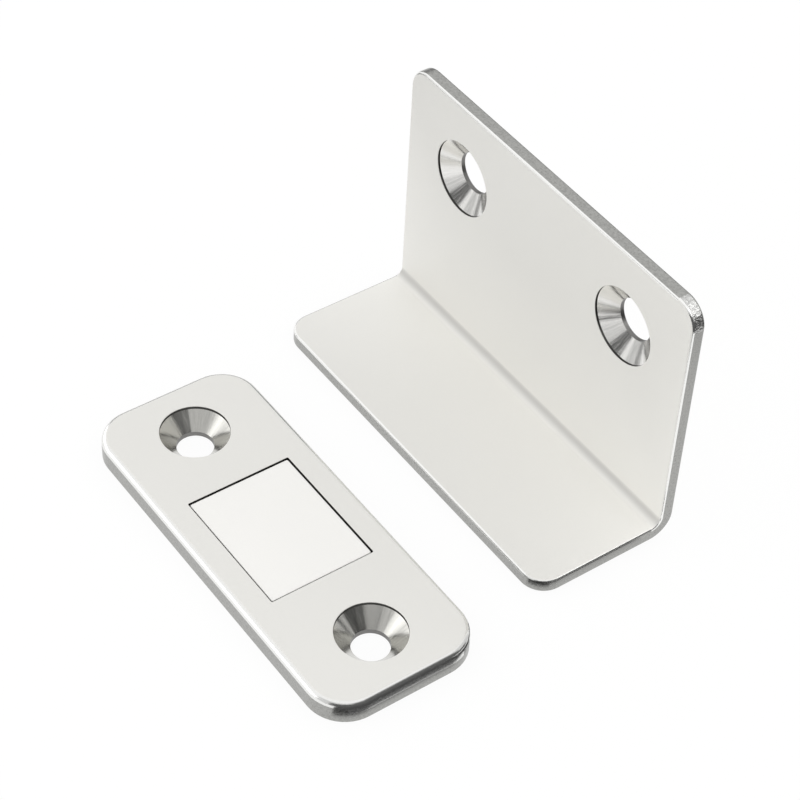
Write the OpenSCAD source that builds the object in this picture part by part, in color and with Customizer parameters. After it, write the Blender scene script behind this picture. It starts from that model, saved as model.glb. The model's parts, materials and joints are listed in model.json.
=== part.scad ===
// Slim magnetic catch in two halves, at their real size in millimetres, +Z up.
// One half is a flat plate that holds a flush magnet and screws to the cabinet.
// The other is an angle strike, folded from one strip, that screws to the door.
// Origin: centre of the underside of the magnet plate. +X runs along its length,
// and +Y points at the strike, which stands on its foot behind the plate.

/* [Magnet plate] */
// Length of the mounting plate
plate_l = 48; // [45:0.5:70]
// Width of the mounting plate
plate_w = 19.1; // [18:0.1:30]
// Thickness of the mounting plate
plate_t = 2.8; // [2.6:0.1:5]
// Radius of the plate's four corners, seen from above
plate_corner_r = 4.5; // [2:0.1:8]
// Radius rolled along the top edge of the plate
plate_top_r = 0.7; // [0.3:0.05:1]
// Radius left along the bottom edge of the plate
plate_bottom_r = 0.15; // [0.05:0.05:0.4]

/* [Plate screw holes] */
// From each end of the plate to the centre of its screw hole
plate_hole_inset = 7.1; // [6:0.1:8]
// Diameter of the countersink at the plate's top face
plate_head_d = 7.8; // [6.5:0.1:9]
// Diameter of the clearance hole under the countersink
plate_bore_d = 4.2; // [3.6:0.1:5]
// Depth of the straight lip above the cone
plate_lip = 0.4; // [0.1:0.05:0.6]
// Included angle of the plate's countersink, in degrees
plate_cone_angle = 90; // [85:5:120]

/* [Magnet] */
// Length of the magnet block, along the plate
magnet_l = 16; // [12:0.1:18]
// Width of the magnet block
magnet_w = 12.4; // [8:0.1:13]
// Gap round the magnet in its window
magnet_gap = 0.12; // [0.05:0.01:0.2]
// How far the magnet's face lies below the plate's top face
magnet_recess = 0.1; // [0.05:0.05:0.4]
// Radius worn on the magnet's edges by tumbling
magnet_edge_r = 0.1; // [0.05:0.05:0.3]

/* [Backing plate] */
// Thickness of the steel backing plate behind the magnet
backing_t = 0.5; // [0.4:0.1:0.8]
// How far the backing plate reaches past the magnet's window all round
backing_ledge = 1.4; // [0.8:0.1:1.8]
// Gap round the backing plate in its rebate
backing_gap = 0.1; // [0.05:0.05:0.2]
// Radius of the backing plate's four corners
backing_corner_r = 1; // [0.5:0.1:2]

/* [Strike] */
// Length of the strike along the fold
strike_l = 48; // [44:0.5:70]
// Reach of the foot from the back of the upright
foot_reach = 18.1; // [12:0.1:26]
// Height of the upright above the underside of the foot
upright_h = 32.4; // [30:0.1:50]
// Thickness of the strip that the strike is folded from
sheet_t = 1.7; // [1.2:0.1:2]
// Radius inside the fold
fold_r = 1.1; // [0.5:0.1:3]
// Radius of the strike's four free corners
strike_corner_r = 2.8; // [1:0.1:6]
// Radius left along the edges of the strip
sheet_edge_r = 0.3; // [0.1:0.05:0.5]

/* [Strike screw holes] */
// From each end of the strike to the centre of its screw hole
strike_hole_inset = 10; // [8:0.1:14]
// From the top edge of the upright down to the hole centres
strike_hole_drop = 9.4; // [7.5:0.1:14]
// Diameter of the pressed countersink at the upright's front face
strike_head_d = 9; // [8:0.1:10]
// Diameter of the clearance hole under the countersink
strike_bore_d = 4.9; // [4:0.1:5.5]
// Depth of the straight lip above the cone
strike_lip = 0.35; // [0.1:0.05:0.5]
// Included angle of the strike's countersink, in degrees
strike_cone_angle = 110; // [100:5:120]
// Length of the straight wall at the bottom of the pressed cup
cup_land = 0.5; // [0.3:0.05:0.8]
// Wall of the pressed cup, measured square to its cone
cup_wall = 0.9; // [0.7:0.05:1.1]

/* [Layout] */
// Centre of the strike along the plate's length
strike_x = -3; // [-10:0.5:10]
// Gap from the long side of the plate to the front edge of the foot
halves_gap = 8.75; // [4:0.25:30]

/* [Hidden] */
$fn = 96;

// Overrun of a cutting body past the faces it cuts
cut = 0.5;

window_l = magnet_l + 2 * magnet_gap;
window_w = magnet_w + 2 * magnet_gap;
rebate_l = window_l + 2 * backing_ledge;
rebate_w = window_w + 2 * backing_ledge;
plate_hole_x = plate_l / 2 - plate_hole_inset;

// Outer radius of the fold, and the flat lengths of the strike's two legs
fold_outer_r = fold_r + sheet_t;
foot_flat = foot_reach - fold_outer_r;
upright_flat = upright_h - fold_outer_r;
strike_y = plate_w / 2 + halves_gap + foot_reach;
strike_hole_x = strike_l / 2 - strike_hole_inset;
strike_hole_z = upright_h - strike_hole_drop;

// Height of a countersink's cone from its two diameters and its included angle
function cone_h(head_d, bore_d, angle) = (head_d - bore_d) / 2 / tan(angle / 2);

strike_cone_h = cone_h(strike_head_d, strike_bore_d, strike_cone_angle);
cup_depth = strike_lip + strike_cone_h + cup_land;
// Outer radius of the pressed cup at a depth below the upright's front face
cup_offset = cup_wall / cos(strike_cone_angle / 2);
function cup_outer_r(depth) =
    strike_head_d / 2 - (depth - strike_lip) * tan(strike_cone_angle / 2) + cup_offset;

// Half of an upright section with its outer edges rounded, for a wall that ends at x = reach
module edge_section(reach, thick, top_r, bottom_r) {
    translate([0, bottom_r]) square([reach, thick - top_r - bottom_r]);
    square([reach - bottom_r, thick / 2]);
    translate([0, thick / 2]) square([reach - top_r, thick / 2]);
    translate([reach - top_r, thick - top_r]) circle(r = top_r);
    translate([reach - bottom_r, bottom_r]) circle(r = bottom_r);
}

// Flat bar on z = 0 with round corners in plan and round edges above and below
module rounded_bar(l, w, t, corner_r, top_r, bottom_r) {
    for (side = [0, 180]) rotate([0, 0, side]) {
        rotate([90, 0, 90]) linear_extrude(height = l - 2 * corner_r, center = true)
            edge_section(w / 2, t, top_r, bottom_r);
        rotate([90, 0, 0]) linear_extrude(height = w - 2 * corner_r, center = true)
            edge_section(l / 2, t, top_r, bottom_r);
    }
    for (x = [-1, 1], y = [-1, 1])
        translate([x * (l / 2 - corner_r), y * (w / 2 - corner_r), 0])
            rotate_extrude() edge_section(corner_r, t, top_r, bottom_r);
}

// Cutting body of a countersunk hole that opens upwards at z = 0
module countersink(head_d, bore_d, lip, angle, depth) {
    cone_end = lip + cone_h(head_d, bore_d, angle);
    rotate_extrude() polygon([
        [0, cut], [head_d / 2, cut], [head_d / 2, -lip],
        [bore_d / 2, -cone_end], [bore_d / 2, -depth - cut], [0, -depth - cut]]);
}

// Plate with two countersunk holes, a window for the magnet and a rebate below it
module mounting_plate() {
    color("gainsboro") difference() {
        rounded_bar(plate_l, plate_w, plate_t, plate_corner_r, plate_top_r, plate_bottom_r);
        for (x = [-plate_hole_x, plate_hole_x]) translate([x, 0, plate_t])
            countersink(plate_head_d, plate_bore_d, plate_lip, plate_cone_angle, plate_t);
        translate([-window_l / 2, -window_w / 2, -cut])
            cube([window_l, window_w, plate_t + 2 * cut]);
        translate([-rebate_l / 2, -rebate_w / 2, -cut])
            cube([rebate_l, rebate_w, backing_t + cut]);
    }
}

// Plain block, glued on the backing plate
module magnet() {
    color("whitesmoke") translate([0, 0, backing_t])
        rounded_bar(magnet_l, magnet_w, plate_t - magnet_recess - backing_t,
            2 * magnet_edge_r, magnet_edge_r, magnet_edge_r);
}

// Thin blank that closes the window from below, flush with the underside
module backing_plate() {
    blank_l = rebate_l - 2 * backing_gap;
    blank_w = rebate_w - 2 * backing_gap;
    color("darkgray") linear_extrude(height = backing_t) {
        square([blank_l, blank_w - 2 * backing_corner_r], center = true);
        square([blank_l - 2 * backing_corner_r, blank_w], center = true);
        for (x = [-1, 1], y = [-1, 1])
            translate([x * (blank_l / 2 - backing_corner_r), y * (blank_w / 2 - backing_corner_r)])
                circle(r = backing_corner_r);
    }
}

// Section of the strip across its length, centred on x = 0 and standing on y = 0
module strip_section() {
    for (side = [0, 1]) mirror([side, 0])
        edge_section(strike_l / 2, sheet_t, sheet_edge_r, sheet_edge_r);
}

// One flat leg of the strike on z = 0, from y = 0 at the fold to its free edge at y = reach
module leg(reach) {
    round_y = reach - strike_corner_r;
    rotate([90, 0, 0]) translate([0, 0, -round_y])
        linear_extrude(height = round_y) strip_section();
    rotate([90, 0, 90]) linear_extrude(height = strike_l - 2 * strike_corner_r, center = true)
        edge_section(reach, sheet_t, sheet_edge_r, sheet_edge_r);
    for (x = [-1, 1]) translate([x * (strike_l / 2 - strike_corner_r), round_y, 0])
        rotate_extrude() edge_section(strike_corner_r, sheet_t, sheet_edge_r, sheet_edge_r);
}

// Quarter turn of the strip about the x axis, from its lowest point round to its back
module fold() {
    rotate([0, 90, 0]) rotate_extrude(angle = 90) translate([fold_outer_r, 0])
        rotate([0, 0, 90]) strip_section();
}

// Back of a pressed countersink, standing proud of the sheet on +Z and rooted in the middle of it
module cup_back() {
    root = sheet_t / 2;
    translate([0, 0, root - sheet_t])
        cylinder(r1 = cup_outer_r(root), r2 = cup_outer_r(cup_depth), h = cup_depth - root);
}

// Angle folded from one strip, with two pressed countersinks in its upright
module strike() {
    color("gainsboro") translate([strike_x, strike_y, 0]) difference() {
        union() {
            translate([0, -fold_outer_r, 0]) mirror([0, 1, 0]) leg(foot_flat);
            translate([0, -fold_outer_r, fold_outer_r]) fold();
            translate([0, 0, fold_outer_r]) rotate([90, 0, 0]) leg(upright_flat);
            for (x = [-strike_hole_x, strike_hole_x]) translate([x, 0, strike_hole_z])
                rotate([-90, 0, 0]) cup_back();
        }
        for (x = [-strike_hole_x, strike_hole_x])
            translate([x, -sheet_t, strike_hole_z]) rotate([90, 0, 0])
                countersink(strike_head_d, strike_bore_d, strike_lip, strike_cone_angle, cup_depth);
    }
}

mounting_plate();
magnet();
backing_plate();
strike();
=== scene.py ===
# Slim magnetic catch for Blender 4.5: a satin plate with a flush magnet, and a folded angle strike.
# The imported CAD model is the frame. Each piece below stands where its node stands, in metres, +Z up.
import json

import bpy
import numpy as np
from bpy.props import FloatProperty, FloatVectorProperty, PointerProperty
from mathutils import Matrix, Vector
from mathutils.geometry import delaunay_2d_cdt


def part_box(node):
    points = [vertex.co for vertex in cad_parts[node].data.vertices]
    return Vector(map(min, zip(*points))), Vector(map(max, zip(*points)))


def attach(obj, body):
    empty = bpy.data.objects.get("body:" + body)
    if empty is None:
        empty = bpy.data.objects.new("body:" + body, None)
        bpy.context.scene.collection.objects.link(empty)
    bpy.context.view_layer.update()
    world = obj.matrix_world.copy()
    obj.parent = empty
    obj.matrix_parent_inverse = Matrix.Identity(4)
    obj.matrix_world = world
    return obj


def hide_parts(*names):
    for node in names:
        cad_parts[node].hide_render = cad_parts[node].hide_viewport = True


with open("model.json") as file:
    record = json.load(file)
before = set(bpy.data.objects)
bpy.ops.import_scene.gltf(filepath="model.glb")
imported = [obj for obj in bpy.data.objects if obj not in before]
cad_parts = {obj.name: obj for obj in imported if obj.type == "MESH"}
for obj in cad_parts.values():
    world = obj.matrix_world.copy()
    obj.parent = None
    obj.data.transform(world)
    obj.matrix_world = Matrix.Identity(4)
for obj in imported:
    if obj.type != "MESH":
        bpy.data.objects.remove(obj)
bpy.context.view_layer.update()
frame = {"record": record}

bl_info = {
    "name": "Magnetic Catch",
    "version": (1, 0, 0),
    "blender": (4, 5, 0),
    "location": "3D View > Sidebar > Catch",
    "description": "Builds a slim magnetic catch: the magnet plate and its folded strike",
    "category": "Object",
}

MM = 0.001
# Points that agree to this distance become one vertex.
WELD = 2e-7
# Steps round a corner, along an edge's round, round the fold and round a hole.
ARC_STEPS = 12
ARC_STOPS = ARC_STEPS + 1
EDGE_STEPS = 8
FOLD_STEPS = 24
LATHE_STEPS = 160
# Small rounds that the CAD model leaves sharp.
HOLE_RIM = 0.07 * MM
WINDOW_RIM = 0.04 * MM
WINDOW_CORNER = 0.12 * MM
CUP_ROUND = 0.12 * MM
# Radius of the corners in plan, then of the edges.
MAGNET_ROUNDS = (0.2 * MM, 0.1 * MM)
BACKING_ROUNDS = (1 * MM, 0.05 * MM)
# The plate's top edge is rolled from this angle above the level down, and its burnished wall lies between
# these directions, in degrees from +X.
ROLLED_FROM = 74
BURNISHED_WALL = (-32, 20)
# How far the strike's painted light fades out from the fold, and the width of the drift of tone in a metal.
PAINTED_FOLD_LIGHT_REACH = 11 * MM
DRIFT = 14 * MM
# The part of its range that a noise fills.
NOISE_SPAN = {"From Min": 0.3, "From Max": 0.7}

PLATE_LOW, PLATE_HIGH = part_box("mounting_plate")
MAGNET_LOW, MAGNET_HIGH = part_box("magnet")
BACKING_LOW, BACKING_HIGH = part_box("backing_plate")
STRIKE_LOW, STRIKE_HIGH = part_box("strike")
MOUNTS = {mount["name"]: mount for mount in frame["record"]["mounts"]}
PLATE_SCREWS = MOUNTS["plate_screws"]
STRIKE_SCREWS = MOUNTS["strike_screws"]


def linear(code):
    """Linear RGB of an sRGB hex colour, by the standard curve."""
    srgb = np.array([int(code[i:i + 2], 16) for i in (0, 2, 4)]) / 255
    return tuple(np.where(srgb <= 0.04045, srgb / 12.92, ((srgb + 0.055) / 1.055) ** 2.4))


def length(name, description, default, precision=3):
    """A length setting in metres, shown in the scene's own unit."""
    return FloatProperty(name=name, description=description, default=default, min=0,
                         precision=precision, subtype="DISTANCE", unit="LENGTH")


def colour(name, description, code):
    """A colour setting, given as sRGB hex."""
    return FloatVectorProperty(name=name, description=description, default=linear(code),
                               size=3, min=0, max=1, subtype="COLOR")


class CatchPlateSettings(bpy.types.PropertyGroup):
    """Sizes of the magnet half."""

    length: length("Length", "Length of the mounting plate", PLATE_HIGH.x - PLATE_LOW.x)
    width: length("Width", "Width of the mounting plate", PLATE_HIGH.y - PLATE_LOW.y)
    thickness: length("Thickness", "Thickness of the mounting plate", PLATE_HIGH.z - PLATE_LOW.z)
    corner: length("Corner radius", "Radius of the four corners, seen from above", 4.5 * MM)
    top_edge: length("Top edge", "Radius rolled along the top edge", 0.7 * MM)
    bottom_edge: length("Bottom edge", "Radius left along the bottom edge", 0.15 * MM)
    burnished: length("Burnished above", "Height where the burnished band starts at the near end",
                      1.35 * MM)
    screws: length("Screw spacing", "Between the centres of the two holes",
                   PLATE_SCREWS["dims"]["spacing_x_mm"] * MM)
    head: length("Countersink", "Radius of the countersink at the top face", 3.9 * MM)
    bore: length("Clearance hole", "Radius of the hole under the countersink", 2.1 * MM)
    lip: length("Lip", "Depth of the straight lip above the cone", 0.4 * MM)
    cone: length("Cone", "Height of the countersink's cone", 1.8 * MM)
    magnet_gap: length("Magnet gap", "Gap round the magnet in its window", 0.12 * MM, 5)
    backing_gap: length("Backing gap", "Gap round the backing plate in its rebate", 0.1 * MM, 5)


class CatchStrikeSettings(bpy.types.PropertyGroup):
    """Sizes of the folded strike."""

    length: length("Length", "Length along the fold", STRIKE_HIGH.x - STRIKE_LOW.x)
    foot: length("Foot", "Reach of the foot from the back of the upright",
                 STRIKE_SCREWS["pos_m"][1] - STRIKE_LOW.y)
    height: length("Height", "Height of the upright", STRIKE_HIGH.z - STRIKE_LOW.z)
    sheet: length("Sheet", "Thickness of the strip", 1.7 * MM)
    fold: length("Fold", "Radius inside the fold", 1.1 * MM)
    corner: length("Corner radius", "Radius of the four free corners", 2.8 * MM)
    edge: length("Edge", "Radius left along the edges of the strip", 0.3 * MM)
    screws: length("Screw spacing", "Between the centres of the two holes",
                   STRIKE_SCREWS["dims"]["spacing_x_mm"] * MM)
    head: length("Countersink", "Radius of the pressed countersink at the front face", 4.5 * MM)
    bore: length("Clearance hole", "Radius of the hole under the countersink", 2.45 * MM)
    lip: length("Lip", "Depth of the straight lip above the cone", 0.35 * MM)
    cone: length("Cone", "Height of the countersink's cone", 1.4354 * MM)
    land: length("Land", "Straight wall at the bottom of the pressed cup", 0.5 * MM)
    cup_root: length("Cup root", "Radius of the cup where it leaves the back", 4.1411 * MM)
    cup_end: length("Cup end", "Radius of the cup at its end", 3.305 * MM)


class CatchFinishSettings(bpy.types.PropertyGroup):
    """Colours of the bare and plated metal."""

    satin: colour("Satin plating", "Flat faces of the magnet plate", "E2E1DD")
    strip: colour("Satin strip", "Flat faces of the strike", "E6E5E1")
    rolled: colour("Rolled edge", "Rounded edges of the magnet plate", "F0F0EE")
    burnished: colour("Burnished edge", "Rounded edges of the strike", "FBFBF9")
    sheared: colour("Sheared edge", "Cut walls round the sheet", "B2B2AF")
    filed: colour("Filed corner", "Cut wall of the strike's upper corner at the near end", "E2E2E0")
    turned: colour("Turned steel", "Countersinks of the magnet plate", "D6D5D0")
    pressed: colour("Pressed steel", "Pressed countersinks of the strike", "F8F7F4")
    # Painted shade: the dark colour of the lips and the window's walls.
    painted_recess_shade: colour("Recess", "Lips and window walls", "545351")
    # Partly painted shade: the bore's grey is darker for the shade in the hole.
    bore: colour("Bore", "Bores under the countersinks", "8A8987")
    magnet: colour("Magnet plating", "Face of the magnet block", "F1F0ED")
    zinc: colour("Zinc plating", "Backing plate behind the magnet", "AEB0B2")


class CatchStageSettings(bpy.types.PropertyGroup):
    """Floor and studio light."""

    floor: colour("Floor", "Colour of the floor", "F6F6F5")
    ambient: FloatProperty(name="Ambient", description="Level of the light from all round", default=1.08,
                           min=0)


def smooth_run(radii, heights, normal_r, normal_h):
    """A smooth stretch of a section: rows of radius, height and the two parts of its outward normal."""
    return np.stack(np.broadcast_arrays(radii, heights, normal_r, normal_h), axis=-1).astype(float)


def straight(start, end, normal):
    """A straight stretch of a section from start to end, with one normal all along."""
    ends = np.array([start, end], float)
    unit = np.array(normal, float) / np.hypot(*normal)
    return smooth_run(ends[:, 0], ends[:, 1], unit[0], unit[1])


def rounding(centre, radius, first, last, steps=EDGE_STEPS):
    """A convex arc of a section: centre plus radius times the direction from first to last, in degrees."""
    turn = np.radians(np.linspace(first, last, steps + 1))
    return smooth_run(centre[0] + radius * np.cos(turn), centre[1] + radius * np.sin(turn),
                      np.cos(turn), np.sin(turn))


def patch(points, normals, corners, finish):
    """One stretch of surface. Faces that wind against their normals are turned round."""
    points, normals = points.reshape(-1, 3), normals.reshape(-1, 3)
    sides = points[corners]
    wind = np.cross(sides[:, 1] - sides[:, 0], sides[:, 2] - sides[:, 0])
    against = np.einsum("ij,ij->i", wind, normals[corners].mean(axis=1)) < 0
    corners = np.where(against[:, None], corners[:, ::-1], corners)
    return points, normals, corners, finish


def grid_patch(points, normals, finish, closed=False):
    """Quads over a grid of points: each cell joins a row to the next, and a closed grid joins its last
    column to its first."""
    rows, columns = points.shape[:2]
    number = np.arange(rows * columns).reshape(rows, columns)
    if closed:
        number = np.concatenate([number, number[:, :1]], axis=1)
    corners = np.stack([number[:-1, :-1], number[1:, :-1], number[1:, 1:], number[:-1, 1:]], axis=-1)
    return patch(points, normals, corners.reshape(-1, 4), finish)


def flat_patch(loops, height, normal_h, finish):
    """A flat face at one height, bounded by the first loop and pierced by the others: a constrained
    Delaunay triangulation, less the triangles that have all their corners on one hole's loop."""
    points = np.concatenate(loops)
    owner = np.repeat(np.arange(len(loops)), [len(loop) for loop in loops])
    starts = np.cumsum([0] + [len(loop) for loop in loops])
    rims = [np.stack([np.arange(a, b), np.roll(np.arange(a, b), -1)], axis=1)
            for a, b in zip(starts[:-1], starts[1:])]
    found = delaunay_2d_cdt([Vector(p) for p in points / MM], np.concatenate(rims).tolist(), [], 1, 1e-6)
    source = np.array([numbers[0] for numbers in found[3]])
    corners = source[np.array(found[2])]
    owners = owner[corners]
    in_hole = (owners[:, 0] > 0) & (owners == owners[:, :1]).all(axis=1)
    flat = np.column_stack([points, np.full(len(points), height)])
    return patch(flat, np.broadcast_to([0.0, 0.0, float(normal_h)], flat.shape), corners[~in_hole], finish)


def band_patch(centres, directions, reach, run, finish):
    """A section carried round a closed path: at each stop the section stands on the path's centre and
    points along its outward direction, and radius 0 of the section lies at the distance reach."""
    offset = (reach + run[:, 0])[:, None, None]
    flat = centres[None] + offset * directions[None]
    height = np.broadcast_to(run[:, 1][:, None, None], flat.shape[:2] + (1,))
    normals = np.concatenate([run[:, 2][:, None, None] * directions[None],
                              np.broadcast_to(run[:, 3][:, None, None], height.shape)], axis=-1)
    return grid_patch(np.concatenate([flat, height], axis=-1), normals, finish, closed=True)


def ring(centre, radius):
    """Points round a circle."""
    turn = np.arange(LATHE_STEPS) * 2 * np.pi / LATHE_STEPS
    return np.asarray(centre) + radius * np.stack([np.cos(turn), np.sin(turn)], axis=-1)


def lathe_patches(centre, runs):
    """A section turned about an upright axis: runs is a list of (stretch of section, finish)."""
    directions = ring((0, 0), 1)
    centres = np.broadcast_to(np.asarray(centre, float), directions.shape)
    return [band_patch(centres, directions, 0, run, finish) for run, finish in runs]


def round_rectangle(size_x, size_y, corner, centre=(0, 0)):
    """Stops round a rectangle with round corners, anticlockwise from the +X side: the centre of the
    corner's arc and the direction out of it, at ARC_STOPS stops a corner."""
    turn = np.radians(np.linspace(0, 90, ARC_STOPS))
    turns = np.concatenate([turn + quarter * np.pi / 2 for quarter in range(4)])
    signs = np.repeat([[1, 1], [-1, 1], [-1, -1], [1, -1]], ARC_STOPS, axis=0)
    half = np.array([size_x / 2 - corner, size_y / 2 - corner])
    return np.asarray(centre) + signs * half, np.stack([np.cos(turns), np.sin(turns)], axis=-1)


def make_piece(name, patches, materials, bend=None, fields=None):
    """Joins patches into one closed mesh: points that coincide become one vertex, and every face corner
    keeps its own patch's exact normal. A patch's finish is the number of its material, or one number per
    stop of its path. fields gives the values that the materials read, from the points as they lie flat,
    and bend then carries points and normals to their place."""
    points = np.concatenate([p[0] for p in patches])
    normals = np.concatenate([p[1] for p in patches])
    values = fields(points) if fields else {}
    if bend:
        points, normals = bend(points, normals)
    starts = np.cumsum([0] + [len(p[0]) for p in patches[:-1]])
    corners = [p[2] + start for p, start in zip(patches, starts)]
    counts = np.concatenate([np.full(len(c), c.shape[1]) for c in corners])
    finishes = np.concatenate([np.resize(p[3], len(p[2])) for p in patches])
    loops = np.concatenate([c.ravel() for c in corners])
    _, first, joined = np.unique(np.round(points / WELD).astype(np.int64), axis=0,
                                 return_index=True, return_inverse=True)
    mesh = bpy.data.meshes.new(name)
    mesh.vertices.add(len(first))
    mesh.vertices.foreach_set("co", points[first].ravel())
    mesh.loops.add(len(loops))
    mesh.loops.foreach_set("vertex_index", joined.ravel()[loops].astype(np.int32))
    mesh.polygons.add(len(counts))
    mesh.polygons.foreach_set("loop_start", (np.cumsum(counts) - counts).astype(np.int32))
    mesh.polygons.foreach_set("material_index", finishes.astype(np.int32))
    mesh.polygons.foreach_set("use_smooth", np.ones(len(counts), bool))
    for material in materials:
        mesh.materials.append(material)
    mesh.update(calc_edges=True)
    for label, value in values.items():
        if value.ndim == 1:
            mesh.attributes.new(label, "FLOAT", "POINT").data.foreach_set("value", value[first])
        else:
            vectors = mesh.attributes.new(label, "FLOAT_VECTOR", "POINT")
            vectors.data.foreach_set("vector", value[first].ravel())
    mesh.normals_split_custom_set(normals[loops].tolist())
    piece = bpy.data.objects.new(name, mesh)
    bpy.context.scene.collection.objects.link(piece)
    return piece


def turning(points, holes, rim):
    """Where each point lies round its nearest hole: the point of the rim at the same angle, and along the
    third axis a seventh of the way in from the rim. A pattern on this runs down the cone in streaks."""
    offset = points[:, None, :2] - np.array(holes)[None]
    nearest = np.argmin((offset ** 2).sum(axis=2), axis=1)
    offset = offset[np.arange(len(points)), nearest]
    radius = np.maximum(np.hypot(*offset.T), MM / 10)
    return np.column_stack([offset / radius[:, None] * rim, (rim - radius) / 7])


def add(tree, kind, inputs=None, **settings):
    """Adds one node. settings are its own properties. inputs are values for its sockets, or sockets to
    link."""
    new = tree.nodes.new(kind)
    for name, value in settings.items():
        setattr(new, name, value)
    for name, value in (inputs or {}).items():
        if isinstance(value, bpy.types.NodeSocket):
            tree.links.new(value, new.inputs[name])
        else:
            new.inputs[name].default_value = value
    return new


def clear_tree(owner):
    """The empty node tree of a material or world."""
    owner.use_nodes = True
    owner.node_tree.nodes.clear()
    return owner.node_tree


def metal(name, rgb, roughness, grain_mm, shade=0.03, roughness_spread=0.05, bump_mm=0.0, metallic=1.0,
          field=None, tones=()):
    """A metal whose colour, roughness and height all follow one grain of that size, over a soft drift of
    tone some DRIFT wide. field names the piece's own coordinates for the grain, which stretch it where the
    finish has a direction. tones are (field, share of the colour left where that field is 1)."""
    made = bpy.data.materials.get(name)
    if made:
        return made
    material = bpy.data.materials.new(name)
    tree = clear_tree(material)
    where = add(tree, "ShaderNodeTexCoord").outputs["Object"]
    along = add(tree, "ShaderNodeAttribute", attribute_name=field).outputs["Vector"] if field else where
    grain_at = add(tree, "ShaderNodeMapping", {"Vector": along, "Scale": (1 / (grain_mm * MM),) * 3})
    grain = add(tree, "ShaderNodeTexNoise", {"Vector": grain_at.outputs[0], "Scale": 1.0, "Detail": 3.0,
                                             "Roughness": 0.6})
    drift = add(tree, "ShaderNodeTexNoise", {"Vector": where, "Scale": 1 / DRIFT, "Detail": 1.0})
    fine = {"Value": grain.outputs["Fac"], **NOISE_SPAN}
    tone = add(tree, "ShaderNodeMapRange", {**fine, "To Min": 1 - shade, "To Max": 1.0})
    soft = add(tree, "ShaderNodeMapRange", {"Value": drift.outputs["Fac"], **NOISE_SPAN,
                                            "To Min": 0.985, "To Max": 1.0})
    level = add(tree, "ShaderNodeMath", {0: tone.outputs[0], 1: soft.outputs[0]}, operation="MULTIPLY")
    for label, share in tones:
        value = add(tree, "ShaderNodeAttribute", attribute_name=label)
        part = add(tree, "ShaderNodeMapRange", {"Value": value.outputs["Fac"], "To Min": 1.0,
                                                "To Max": share})
        level = add(tree, "ShaderNodeMath", {0: level.outputs[0], 1: part.outputs[0]},
                    operation="MULTIPLY")
    scaled = add(tree, "ShaderNodeVectorMath", {0: tuple(rgb), "Scale": level.outputs[0]},
                 operation="SCALE")
    rough = add(tree, "ShaderNodeMapRange", {**fine, "To Min": roughness - roughness_spread,
                                             "To Max": roughness + roughness_spread})
    shader_inputs = {"Base Color": scaled.outputs[0], "Metallic": metallic, "Roughness": rough.outputs[0]}
    if bump_mm:
        relief = add(tree, "ShaderNodeBump", {"Height": grain.outputs["Fac"], "Strength": 1.0,
                                              "Distance": bump_mm * MM})
        shader_inputs["Normal"] = relief.outputs[0]
    shader = add(tree, "ShaderNodeBsdfPrincipled", shader_inputs)
    add(tree, "ShaderNodeOutputMaterial", {"Surface": shader.outputs[0]})
    return material


def edge_materials(finish, rolled):
    """One half's rolled finish, then the three that both halves share, in the order of their numbers."""
    return [
        rolled,
        # Mild steel as the punch left it, torn and then thinly plated: a grey wall with a fine dark
        # speckle. The real tearing is some 0.05 mm across, and is drawn at 0.25 mm so that it shows.
        metal("sheared_steel_edge", finish.sheared, 0.3, 0.25, shade=0.3, bump_mm=0.008),
        # Steel inside the lips and the window's gap, coloured dark as painted shade: a dark outline.
        metal("dull_recess_steel", finish.painted_recess_shade, 0.45, 0.2, shade=0.3),
        # Steel left by the drill, half bright, its grey deepened as painted shade in the hole: a grey ring
        # under the cone. The drill's rings are too fine to show, and are drawn as a 0.2 mm grain.
        metal("drilled_steel", finish.bore, 0.4, 0.2, shade=0.3),
    ]


SATIN, ROLLED, SHEARED, PAINTED_SHADE, BORE, TURNED, FILED = range(7)


def countersink_runs(top, head, bore, lip, cone, end):
    """Section of a countersink, from its rim on the face down the lip and the cone to the end of the
    bore."""
    cone_top, cone_end = top - lip, top - lip - cone
    return [
        (rounding((head + HOLE_RIM, top - HOLE_RIM), HOLE_RIM, 90, 180), SATIN),
        # The lip is coloured dark as painted shade.
        (straight((head, top - HOLE_RIM), (head, cone_top), (-1, 0)), PAINTED_SHADE),
        (straight((head, cone_top), (bore, cone_end), (-cone, head - bore)), TURNED),
        (straight((bore, cone_end), (bore, end), (-1, 0)), BORE),
    ]


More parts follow.
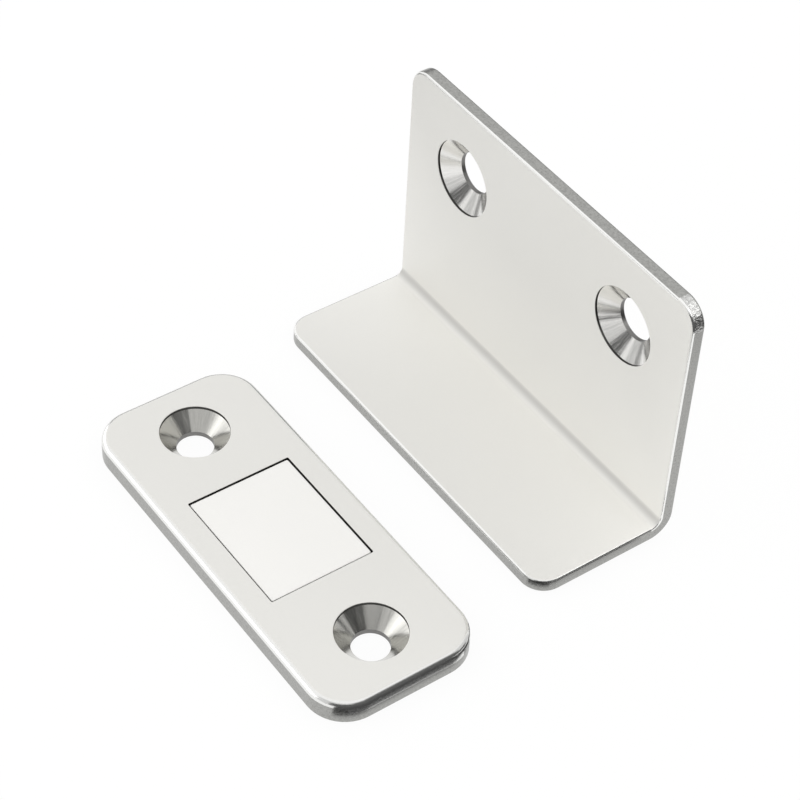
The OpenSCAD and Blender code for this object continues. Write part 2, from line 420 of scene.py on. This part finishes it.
class CATCH_OT_magnet_plate(bpy.types.Operator):
    """Builds the mounting plate with its two countersinks, its window and the rebate under it."""

    bl_idname = "catch.magnet_plate"
    bl_label = "Mounting Plate"

    def execute(self, context):
        s = context.scene.catch_plate
        top, edge, burr = s.thickness, s.top_edge, s.bottom_edge
        centres, directions = round_rectangle(s.length, s.width, s.corner)
        turn = np.degrees(np.arctan2(directions[:, 1], directions[:, 0]))
        wall = np.where((turn > BURNISHED_WALL[0]) & (turn < BURNISHED_WALL[1]), ROLLED, SHEARED)
        magnet_x, magnet_y = MAGNET_HIGH.x - MAGNET_LOW.x, MAGNET_HIGH.y - MAGNET_LOW.y
        backing_x, backing_y = BACKING_HIGH.x - BACKING_LOW.x, BACKING_HIGH.y - BACKING_LOW.y
        shelf = MAGNET_LOW.z
        window, window_out = round_rectangle(magnet_x + 2 * s.magnet_gap, magnet_y + 2 * s.magnet_gap,
                                             WINDOW_CORNER)
        rebate, rebate_out = round_rectangle(backing_x + 2 * s.backing_gap, backing_y + 2 * s.backing_gap,
                                             WINDOW_CORNER)
        window_loop = window + WINDOW_CORNER * window_out
        rebate_loop = rebate + WINDOW_CORNER * rebate_out
        holes = [(side * s.screws / 2, 0) for side in (-1, 1)]
        patches = [
            flat_patch([centres + (s.corner - edge) * directions, window_loop + WINDOW_RIM * window_out]
                       + [ring(hole, s.head + HOLE_RIM) for hole in holes], top, 1, SATIN),
            *(band_patch(centres, directions, s.corner, run, kind) for run, kind in (
                (rounding((-edge, top - edge), edge, 90, ROLLED_FROM), SATIN),
                (rounding((-edge, top - edge), edge, ROLLED_FROM, 0), ROLLED),
                (straight((0, top - edge), (0, s.burnished), (1, 0)), wall),
                (straight((0, s.burnished), (0, burr), (1, 0)), SHEARED),
                (rounding((-burr, burr), burr, 0, -90), SHEARED))),
            flat_patch([centres + (s.corner - burr) * directions, rebate_loop]
                       + [ring(hole, s.bore) for hole in holes], 0, -1, SATIN),
            # The window's walls are coloured dark as painted shade.
            band_patch(window, window_out, WINDOW_CORNER,
                       rounding((WINDOW_RIM, top - WINDOW_RIM), WINDOW_RIM, 90, 180), PAINTED_SHADE),
            band_patch(window, window_out, WINDOW_CORNER,
                       straight((0, top - WINDOW_RIM), (0, shelf), (-1, 0)), PAINTED_SHADE),
            flat_patch([rebate_loop, window_loop], shelf, -1, SHEARED),
            band_patch(rebate, rebate_out, WINDOW_CORNER, straight((0, shelf), (0, 0), (-1, 0)), SHEARED),
        ]
        for hole in holes:
            patches += lathe_patches(hole, countersink_runs(top, s.head, s.bore, s.lip, s.cone, 0))
        finish = context.scene.catch_finish
        # Mild steel with satin nickel plating on a fine blasted ground. It scatters far more light than it
        # mirrors, so the face is one even pale grey from edge to edge. Its metallic is low to give that.
        satin = metal("satin_plated_steel", finish.satin, 0.5, 0.22, shade=0.015, bump_mm=0.0006,
                      metallic=0.3)
        # The same steel where the die rolled it over and burnished it: smooth enough to mirror the room as
        # one dark and one bright line along the edge.
        rolled = metal("rolled_steel_edge", finish.rolled, 0.2, 0.3, shade=0.03, roughness_spread=0.03)
        # Steel cut bright by a countersink tool: pale and dark wedges with streaks down the cone. The real
        # tool marks are a few hundredths of a millimetre wide, and are drawn at 0.2 mm so that they show.
        turned = metal("turned_steel", finish.turned, 0.18, 0.2, 0.18, 0.08, 0.0025, field="turning")
        piece = make_piece("satin_plate", patches, [satin, *edge_materials(finish, rolled), turned],
                           fields=lambda points: {"turning": turning(points, holes, s.head)})
        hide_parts("mounting_plate")
        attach(piece, "root")
        return {"FINISHED"}


def slab_patches(low, high, corner, edge):
    """A plain block or blank between two corners, with round corners in plan and one radius on all
    edges."""
    size, middle = high - low, (low + high) / 2
    centres, directions = round_rectangle(size.x, size.y, corner, middle.xy)
    inner = centres + (corner - edge) * directions
    return [
        flat_patch([inner], high.z, 1, 0),
        *(band_patch(centres, directions, corner, run, 0) for run in (
            rounding((-edge, high.z - edge), edge, 90, 0),
            straight((0, high.z - edge), (0, low.z + edge), (1, 0)),
            rounding((-edge, low.z + edge), edge, 0, -90))),
        flat_patch([inner], low.z, -1, 0),
    ]


class CATCH_OT_magnet(bpy.types.Operator):
    """Builds the magnet block and the steel backing plate that it is glued to."""

    bl_idname = "catch.magnet"
    bl_label = "Magnet and Backing"

    def execute(self, context):
        finish = context.scene.catch_finish
        # Matt nickel barrel plated on a sintered block that tumbling has worn smooth: the palest face of
        # the catch, with no line or grain in it.
        nickel = metal("matt_nickel_plating", finish.magnet, 0.5, 0.18, shade=0.02, bump_mm=0.0008,
                       metallic=0.3)
        block = make_piece("magnet_block", slab_patches(MAGNET_LOW, MAGNET_HIGH, *MAGNET_ROUNDS), [nickel])
        # Zinc barrel plated on a punched steel blank and left dull: a blue grey with soft clouds.
        zinc = metal("dull_zinc_plating", finish.zinc, 0.45, 0.8, shade=0.12, bump_mm=0.001)
        backing = make_piece("backing_blank", slab_patches(BACKING_LOW, BACKING_HIGH, *BACKING_ROUNDS),
                             [zinc])
        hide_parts("magnet")
        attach(block, "root")
        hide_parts("backing_plate")
        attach(backing, "root")
        return {"FINISHED"}


class CATCH_OT_strike(bpy.types.Operator):
    """Builds the strike: a strip with rounded edges and two pressed countersinks, then folded square."""

    bl_idname = "catch.strike"
    bl_label = "Folded Strike"

    def execute(self, context):
        s = context.scene.catch_strike
        outer = s.fold + s.sheet
        half = s.length / 2 - s.corner
        foot_end = s.foot - outer
        arc = outer * np.pi / 2
        fold_end = foot_end + arc
        strip = fold_end + s.height - outer
        # The strip lies along Y from the foot's free end, inner face up. Its path has stops of its own
        # where both long sides run through the fold.
        stops = np.linspace(foot_end, fold_end, FOLD_STEPS + 1)
        centres, directions = round_rectangle(s.length, strip, s.corner, (0, strip / 2))
        upper, lower = slice(0, 2 * ARC_STOPS), slice(2 * ARC_STOPS, None)
        right = np.stack([np.full_like(stops, half), stops], axis=-1)
        left = right[::-1] * [-1, 1]
        centres = np.concatenate([right, centres[upper], left, centres[lower]])
        directions = np.concatenate([np.broadcast_to([1.0, 0.0], right.shape), directions[upper],
                                     np.broadcast_to([-1.0, 0.0], left.shape), directions[lower]])
        inner = centres + (s.corner - s.edge) * directions
        after = FOLD_STEPS + 1 + 2 * ARC_STOPS
        upright_loop = inner[FOLD_STEPS:after + 1]
        foot_loop = np.concatenate([inner[after + FOLD_STEPS:], inner[:1]])
        flat_end = half + s.corner - s.edge
        fold = np.stack(np.meshgrid(stops, [flat_end, -flat_end], indexing="ij"), axis=-1)[..., ::-1]
        hole_s = strip - (s.height - STRIKE_SCREWS["pos_m"][2])
        holes = [(side * s.screws / 2, hole_s) for side in (-1, 1)]
        turns = np.hypot(*(np.roll(directions, -1, axis=0) - directions).T) > 1e-9
        near = directions[:, 0] > 0.05
        foot_near = near & (centres[:, 1] < foot_end)
        upright_near = near & ~foot_near
        wall = np.where(turns & (centres[:, 1] > fold_end) & (centres[:, 0] > 0), FILED, SHEARED)
        # The inner face's edge in bands of first angle, last angle and finish, from the face down. The
        # burnished part lies lower at the near end.
        edge_bands = (
            (90, 80, SATIN),
            (80, 58, np.where(near, SATIN, ROLLED)),
            (58, 45, np.where(upright_near, SATIN, ROLLED)),
            (45, 28, ROLLED),
            (28, 18, np.where(foot_near, SHEARED, ROLLED)),
            (18, 0, np.where(upright_near, ROLLED, SHEARED)),
        )
        edge_middle = (-s.edge, s.sheet - s.edge)
        patches = [band_patch(centres, directions, s.corner, run, kind) for run, kind in (
            *((rounding(edge_middle, s.edge, first, last, 3), kind) for first, last, kind in edge_bands),
            (straight((0, s.sheet - s.edge), (0, s.edge), (1, 0)), wall),
            (rounding((-s.edge, s.edge), s.edge, 0, -90), SHEARED))]
        for height, facing, hole_radius in ((s.sheet, 1, s.head + HOLE_RIM), (0.0, -1, s.cup_root)):
            patches.append(flat_patch([foot_loop], height, facing, SATIN))
            patches.append(flat_patch([upright_loop] + [ring(hole, hole_radius) for hole in holes],
                                      height, facing, SATIN))
            flat = np.concatenate([fold, np.full(fold.shape[:2] + (1,), height)], axis=-1)
            normals = np.broadcast_to([0.0, 0.0, float(facing)], flat.shape)
            patches.append(grid_patch(flat, normals, SATIN))
        end = s.sheet - s.lip - s.cone - s.land
        slope = (-end, s.cup_root - s.cup_end)
        lean = np.degrees(np.arctan2(-slope[1], slope[0]))
        cup_lip = rounding((s.cup_end - CUP_ROUND, end + CUP_ROUND), CUP_ROUND, -90, lean)
        runs = countersink_runs(s.sheet, s.head, s.bore, s.lip, s.cone, end) + [
            (straight((s.bore, end), (s.cup_end - CUP_ROUND, end), (0, -1)), SHEARED),
            (cup_lip, ROLLED),
            (straight(cup_lip[-1, :2], (s.cup_root, 0), (slope[0], -slope[1])), SATIN),
        ]
        for hole in holes:
            patches += lathe_patches(hole, runs)
        middle = (STRIKE_LOW.x + STRIKE_HIGH.x) / 2
        back = STRIKE_SCREWS["pos_m"][1]

        def folded(points, normals):
            """Folds the strip about a line along its length. A point at the distance a along the strip and
            the height h keeps both in the flats, and in the fold turns by (a - foot_end) / arc of a right
            angle, at the radius outer - h."""
            along = points[:, 1]
            turn = np.clip((along - foot_end) / arc, 0, 1) * np.pi / 2
            straight_on = np.minimum(along - foot_end, 0) + np.maximum(along - fold_end, 0)
            radius = outer - points[:, 2]
            sine, cosine = np.sin(turn), np.cos(turn)
            place = np.stack([middle + points[:, 0],
                              back - outer + radius * sine + straight_on * cosine,
                              outer - radius * cosine + straight_on * sine], axis=-1)
            facing = np.stack([normals[:, 0],
                               normals[:, 1] * cosine - normals[:, 2] * sine,
                               normals[:, 1] * sine + normals[:, 2] * cosine], axis=-1)
            return place, facing

        def tones(points):
            """Values for the materials, from turned, the share of the fold that a point has turned, and
            inside, the share of the strip's thickness that lies behind it. bend, painted shade down the
            inside of the fold, is the sine of pi times turned to the power 1.6, times inside. dull, more
            painted shade in the fold that grows darker towards the far end, is turned times the distance
            from the near end over the length. The last value, painted light that lifts the inner faces for
            some way to both sides of the fold, is exp(-(away / reach) squared) times inside, where reach is
            how far it fades out and away is the distance from the fold."""
            turned = np.clip((points[:, 1] - foot_end) / arc, 0, 1)
            inside = np.clip(points[:, 2] / s.sheet, 0, 1)
            away = np.maximum(foot_end - points[:, 1], points[:, 1] - fold_end).clip(0)
            return {"turning": turning(points, holes, s.head),
                    "bend": np.sin(np.pi * turned ** 1.6) * inside,
                    "dull": (0.5 - points[:, 0] / s.length) * turned,
                    "burnish": np.exp(-(away / PAINTED_FOLD_LIGHT_REACH) ** 2) * inside}

        finish = context.scene.catch_finish
        # Cold-rolled strip with the plate's satin nickel plating. Painted light brightens its inner faces
        # for some way to both sides of the fold, where shade falls, and painted shade lays a soft darker
        # line down the inside of the fold that grows darker towards its far end.
        satin = metal("satin_plated_strip", finish.strip, 0.5, 0.22, shade=0.015, bump_mm=0.0006,
                      metallic=0.3, tones=(("burnish", 1.18), ("bend", 0.71), ("dull", 0.935)))
        # The strip's edges, rounded and burnished in a tumbling barrel: a thin white line along each.
        rolled = metal("burnished_strip_edge", finish.burnished, 0.2, 0.3, shade=0.03,
                       roughness_spread=0.03)
        # Steel drawn over a polished cone punch: brighter than the turned cones, with the same streaks
        # down it, drawn at 0.22 mm so that they show.
        pressed = metal("pressed_steel", finish.pressed, 0.18, 0.22, 0.18, 0.08, 0.0025, field="turning")
        # Steel rounded off by hand with a file: a broken, glinting wall. The marks of a smooth file, some
        # 0.1 mm apart, are drawn at 0.35 mm so that they show.
        filed = metal("filed_steel_corner", finish.filed, 0.26, 0.35, shade=0.3, bump_mm=0.14)
        piece = make_piece("strike_angle", patches,
                           [satin, *edge_materials(finish, rolled), pressed, filed], folded, tones)
        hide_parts("strike")
        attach(piece, "root")
        return {"FINISHED"}


def toward(azimuth, elevation):
    """Unit vector to an azimuth, from +X towards +Y, and an elevation, both in degrees."""
    a, e = np.radians([azimuth, elevation])
    return Vector((np.cos(a) * np.cos(e), np.sin(a) * np.cos(e), np.sin(e)))


def facing_matrix(place, target):
    """Place of a lamp that looks at the target along its own -Z."""
    turned = (place - target).to_track_quat("Z", "Y").to_matrix().to_4x4()
    return Matrix.Translation(place) @ turned


# The point that cards and lamps face, and how far off they stand, in metres.
STAGE_MIDDLE = Vector((-0.001, 0.014, 0.008))
STAGE_REACH = 0.6
LAMP_REACH = 0.45
# What a lamp for each half lights.
MAGNET_HALF = ("satin_plate", "magnet_block", "backing_blank", "floor")
STRIKE_HALF = ("strike_angle",)
# The floor and the cards that lie over it, in metres, and the share of plain white in the floor's look.
FLOOR_HEIGHT = -2e-5
FLOOR_CARD_HEIGHT = -1e-5
FLOOR_REACH = 6
FLOOR_WHITE = 0.93
# Points of a card from side to side and from bottom to top.
CARD_STOPS = 25
CARD_ROWS = 9
# Per card: its azimuths and elevations in degrees, its grey, and its reach as a share of STAGE_REACH.
CARDS = {
    "card_left": ((-122, -95), (5, 28), 0.14, 1.0),
    "card_left_grey": ((-150, -133), (-3, 22), 0.6, 1.0),
    "card_room": ((-98, 85), (-3, 54), 0.7, 1.03),
    "card_right": ((-65, 45), (-3, 37), 0.09, 1.0),
    "card_right_low": ((45, 66), (-3, 19), 0.09, 1.0),
    "card_top": ((-12, 42), (36, 48), 0.19, 0.99),
    "card_far": ((105, 175), (-3, 22), 0.3, 1.0),
}
# The camera fitted to the photograph: lens, sensor and distance in millimetres, angles in degrees.
CAMERA_LENS = 111.026
CAMERA_SENSOR = 36
CAMERA_ANGLES = (-37.604, 44.735)
CAMERA_ROLL = -3.390
CAMERA_TARGET = Vector((-10.982, 23.371, 0)) * MM
CAMERA_DISTANCE = 278.016


def show_to_reflections(name, patches, grey):
    """A stage card of an even grey that only the metal's reflections see."""
    material = bpy.data.materials.new(name)
    tree = clear_tree(material)
    glow = add(tree, "ShaderNodeEmission", {"Color": (grey, grey, grey, 1), "Strength": 1.0})
    add(tree, "ShaderNodeOutputMaterial", {"Surface": glow.outputs[0]})
    card = make_piece(name, patches, [material])
    card.visible_camera = False
    card.visible_diffuse = False
    card.visible_shadow = False
    card.visible_transmission = False


def place_card(name, azimuths, elevations, grey, reach):
    """A curved card between two azimuths and two elevations, in degrees, on a sphere round the catch,
    whose radius is reach times STAGE_REACH."""
    a, e = np.radians(np.meshgrid(np.linspace(*azimuths, CARD_STOPS), np.linspace(*elevations, CARD_ROWS)))
    out = np.stack([np.cos(a) * np.cos(e), np.sin(a) * np.cos(e), np.sin(e)], axis=-1)
    place = np.array(STAGE_MIDDLE) + reach * STAGE_REACH * out
    show_to_reflections(name, [grid_patch(place, -out, 0)], grey)


def place_floor_card(name, centres, directions, reaches, grey):
    """A flat card just above the floor: at each stop of a path it lies along the stop's direction, between
    two distances in millimetres, each one number or one per stop."""
    ends = np.stack([np.broadcast_to(r, len(directions)) for r in reaches]) * MM
    flat = np.asarray(centres) + ends[..., None] * directions
    place = np.concatenate([flat, np.full(flat.shape[:2] + (1,), FLOOR_CARD_HEIGHT)], axis=-1)
    upward = np.broadcast_to([0.0, 0.0, 1.0], place.shape)
    show_to_reflections(name, [grid_patch(place, upward, 0)], grey)


def fan(first, last):
    """Level directions between two azimuths, in degrees."""
    turn = np.radians(np.linspace(first, last, CARD_STOPS))
    return np.stack([np.cos(turn), np.sin(turn)], axis=-1)


def place_softbox(name, azimuth, elevation, wide, tall, level, lights, target=STAGE_MIDDLE,
                  reach=LAMP_REACH):
    """A rectangular lamp as wide and tall as those angles in degrees seen from its target, and as bright
    as level times white. It lights only the named pieces."""
    x, y = (2 * reach * np.tan(np.radians(angle / 2)) for angle in (wide, tall))
    lamp = bpy.data.lights.new(name, "AREA")
    lamp.shape = "RECTANGLE"
    lamp.size, lamp.size_y = x, y
    lamp.energy = level * np.pi * x * y
    stand = bpy.data.objects.new(name, lamp)
    bpy.context.scene.collection.objects.link(stand)
    stand.matrix_world = facing_matrix(target + reach * toward(azimuth, elevation), target)
    stand.visible_camera = False
    lit = bpy.data.collections.new(name + "_lights")
    for piece in lights:
        lit.objects.link(bpy.data.objects[piece])
    stand.light_linking.receiver_collection = lit
    return stand


def show_white(tree, plain, white, share):
    """Mixes a share of white into the plain look, for the rays by which the camera, mirrors and glass see
    it. All other rays keep the plain look, so the white sheds no light."""
    path = add(tree, "ShaderNodeLightPath")
    seen = add(tree, "ShaderNodeMath", {0: path.outputs["Is Camera Ray"], 1: path.outputs["Is Glossy Ray"]},
               operation="MAXIMUM")
    seen = add(tree, "ShaderNodeMath", {0: seen.outputs[0], 1: path.outputs["Is Transmission Ray"]},
               operation="MAXIMUM")
    part = add(tree, "ShaderNodeMath", {0: seen.outputs[0], 1: share}, operation="MULTIPLY")
    both = add(tree, "ShaderNodeMixShader", {0: part.outputs[0], 1: plain.outputs[0], 2: white.outputs[0]})
    return both.outputs[0]


def build_world(scene, ambient):
    """Even light from all round, at the level ambient, that the camera and mirrors see as plain white."""
    world = bpy.data.worlds.new("studio")
    tree = clear_tree(world)
    lit = add(tree, "ShaderNodeBackground", {"Color": (1, 1, 1, 1), "Strength": ambient})
    white = add(tree, "ShaderNodeBackground", {"Color": (1, 1, 1, 1), "Strength": 1.0})
    add(tree, "ShaderNodeOutputWorld", {"Surface": show_white(tree, lit, white, 1)})
    scene.world = world


def build_floor(scene, tint):
    """A pale matt floor that takes soft shadows, and looks FLOOR_WHITE of the way to plain white."""
    mesh = bpy.data.meshes.new("floor")
    mesh.from_pydata([(x * FLOOR_REACH, y * FLOOR_REACH, FLOOR_HEIGHT)
                      for x, y in ((-1, -1), (1, -1), (1, 1), (-1, 1))], [], [(0, 1, 2, 3)])
    floor = bpy.data.objects.new("floor", mesh)
    scene.collection.objects.link(floor)
    material = bpy.data.materials.new("pale_floor")
    tree = clear_tree(material)
    matt = add(tree, "ShaderNodeBsdfDiffuse", {"Color": (*tint, 1)})
    white = add(tree, "ShaderNodeEmission", {"Color": (1, 1, 1, 1), "Strength": 1.0})
    add(tree, "ShaderNodeOutputMaterial", {"Surface": show_white(tree, matt, white, FLOOR_WHITE)})
    mesh.materials.append(material)


def place_near_card(plate):
    """A dark card round the plate's near end, for its wall and rolled edge to mirror. It starts 0.85 mm
    from the wall, and up to 0.4 mm more round the +Y corner. It ends 80 mm from the wall, or 13 mm where
    it turns to the strike."""
    centres, directions = round_rectangle(plate.length, plate.width, plate.corner)
    near_end = np.r_[3 * ARC_STOPS + 5:4 * ARC_STOPS, 0:3 * ARC_STEPS // 4]
    out = directions[near_end]
    start = plate.corner / MM + 0.85 + 0.4 * np.clip(out[:, 1], 0, None)
    end = plate.corner / MM + np.where(out[:, 1] < 0.4, 80, 13)
    place_floor_card("card_floor_near", centres[near_end], out, (start, end), 0.07)


def place_corner_card(corner):
    """A dark card round the foot's near corner and on to 4 mm before the strike's back. It starts 0.8 or
    1.1 mm from the wall and ends 5 mm from it, or 60 mm from the corner's centre midway round."""
    out = np.append(fan(-80, 0), [[1, 0]], axis=0)
    centres = np.tile([STRIKE_HIGH.x - corner, STRIKE_LOW.y + corner], (len(out), 1))
    centres[-1, 1] = STRIKE_HIGH.y - 4 * MM
    start = corner / MM + np.where(out[:, 1] < -0.3, 0.8, 1.1)
    end = np.where((out[:, 1] > -0.88) & (out[:, 1] < -0.42), 60, corner / MM + 5)
    place_floor_card("card_floor_corner", centres, out, (start, end), 0.07)


def place_camera(scene):
    """The camera at the photograph's angle, rolled about its own line of sight."""
    camera = bpy.data.objects.new("camera", bpy.data.cameras.new("camera"))
    scene.collection.objects.link(camera)
    camera.data.lens = CAMERA_LENS
    camera.data.sensor_width = CAMERA_SENSOR
    camera.data.clip_start = 0.01
    camera.data.clip_end = 20
    away = toward(*CAMERA_ANGLES)
    right = away.cross(Vector((0, 0, -1))).normalized()
    down = (-away).cross(right)
    roll = np.radians(CAMERA_ROLL)
    across = right * np.cos(roll) + down * np.sin(roll)
    up = right * np.sin(roll) - down * np.cos(roll)
    camera.matrix_world = Matrix.Translation(CAMERA_TARGET + away * CAMERA_DISTANCE * MM) @ Matrix(
        (across, up, away)).transposed().to_4x4()
    scene.camera = camera


class CATCH_OT_stage(bpy.types.Operator):
    """Builds the pale floor, the studio light and the camera at the photograph's angle."""

    bl_idname = "catch.stage"
    bl_label = "Stage"

    def execute(self, context):
        scene = context.scene
        build_world(scene, scene.catch_stage.ambient)
        build_floor(scene, scene.catch_stage.floor)
        place_softbox("softbox_left", -145, 12, 70, 36, 0.65, MAGNET_HALF)
        place_softbox("softbox_fill", -108, 16, 26, 27, 1.2, MAGNET_HALF)
        corner = Vector((STRIKE_HIGH.x - MM, STRIKE_HIGH.y - 0.9 * MM, STRIKE_HIGH.z - MM))
        # A small lamp close by, that gives the filed corner its glints and no even light.
        lamp = place_softbox("softbox_corner", 38, 43, 32, 32, 2.4, STRIKE_HALF, corner, 0.05)
        lamp.visible_diffuse = False
        for name, card in CARDS.items():
            place_card(name, *card)
        middle = np.array(STAGE_MIDDLE.xy)
        place_floor_card("card_floor_right", middle, fan(-65, 62), (72, 599), 0.08)
        place_floor_card("card_floor_left", middle, fan(-178, -143), (60, 400), 0.35)
        place_near_card(scene.catch_plate)
        place_corner_card(scene.catch_strike.corner)
        place_camera(scene)
        scene.view_settings.view_transform = "Standard"
        return {"FINISHED"}


class CATCH_PT_sidebar(bpy.types.Panel):
    """Lists the builders and their settings."""

    bl_label = "Magnetic Catch"
    bl_space_type = "VIEW_3D"
    bl_region_type = "UI"
    bl_category = "Catch"

    def draw(self, context):
        for operators, group in (((CATCH_OT_magnet_plate, CATCH_OT_magnet), "catch_plate"),
                                 ((CATCH_OT_strike,), "catch_strike"),
                                 ((), "catch_finish"),
                                 ((CATCH_OT_stage,), "catch_stage")):
            box = self.layout.box()
            settings = getattr(context.scene, group)
            for name in settings.__annotations__:
                box.prop(settings, name)
            for operator in operators:
                box.operator(operator.bl_idname)


GROUPS = {
    "catch_plate": CatchPlateSettings,
    "catch_strike": CatchStrikeSettings,
    "catch_finish": CatchFinishSettings,
    "catch_stage": CatchStageSettings,
}
CLASSES = (*GROUPS.values(), CATCH_OT_magnet_plate, CATCH_OT_magnet, CATCH_OT_strike, CATCH_OT_stage,
           CATCH_PT_sidebar)


def register():
    """Registers the classes and hangs the settings on the scene."""
    for cls in CLASSES:
        bpy.utils.register_class(cls)
    for name, group in GROUPS.items():
        setattr(bpy.types.Scene, name, PointerProperty(type=group))


def unregister():
    """Takes the settings off the scene and unregisters the classes."""
    for name in GROUPS:
        delattr(bpy.types.Scene, name)
    for cls in reversed(CLASSES):
        bpy.utils.unregister_class(cls)


def main():
    """Builds the catch and its stage."""
    register()
    bpy.ops.catch.magnet_plate()
    bpy.ops.catch.magnet()
    bpy.ops.catch.strike()
    bpy.ops.catch.stage()


if __name__ == "__main__":
    main()
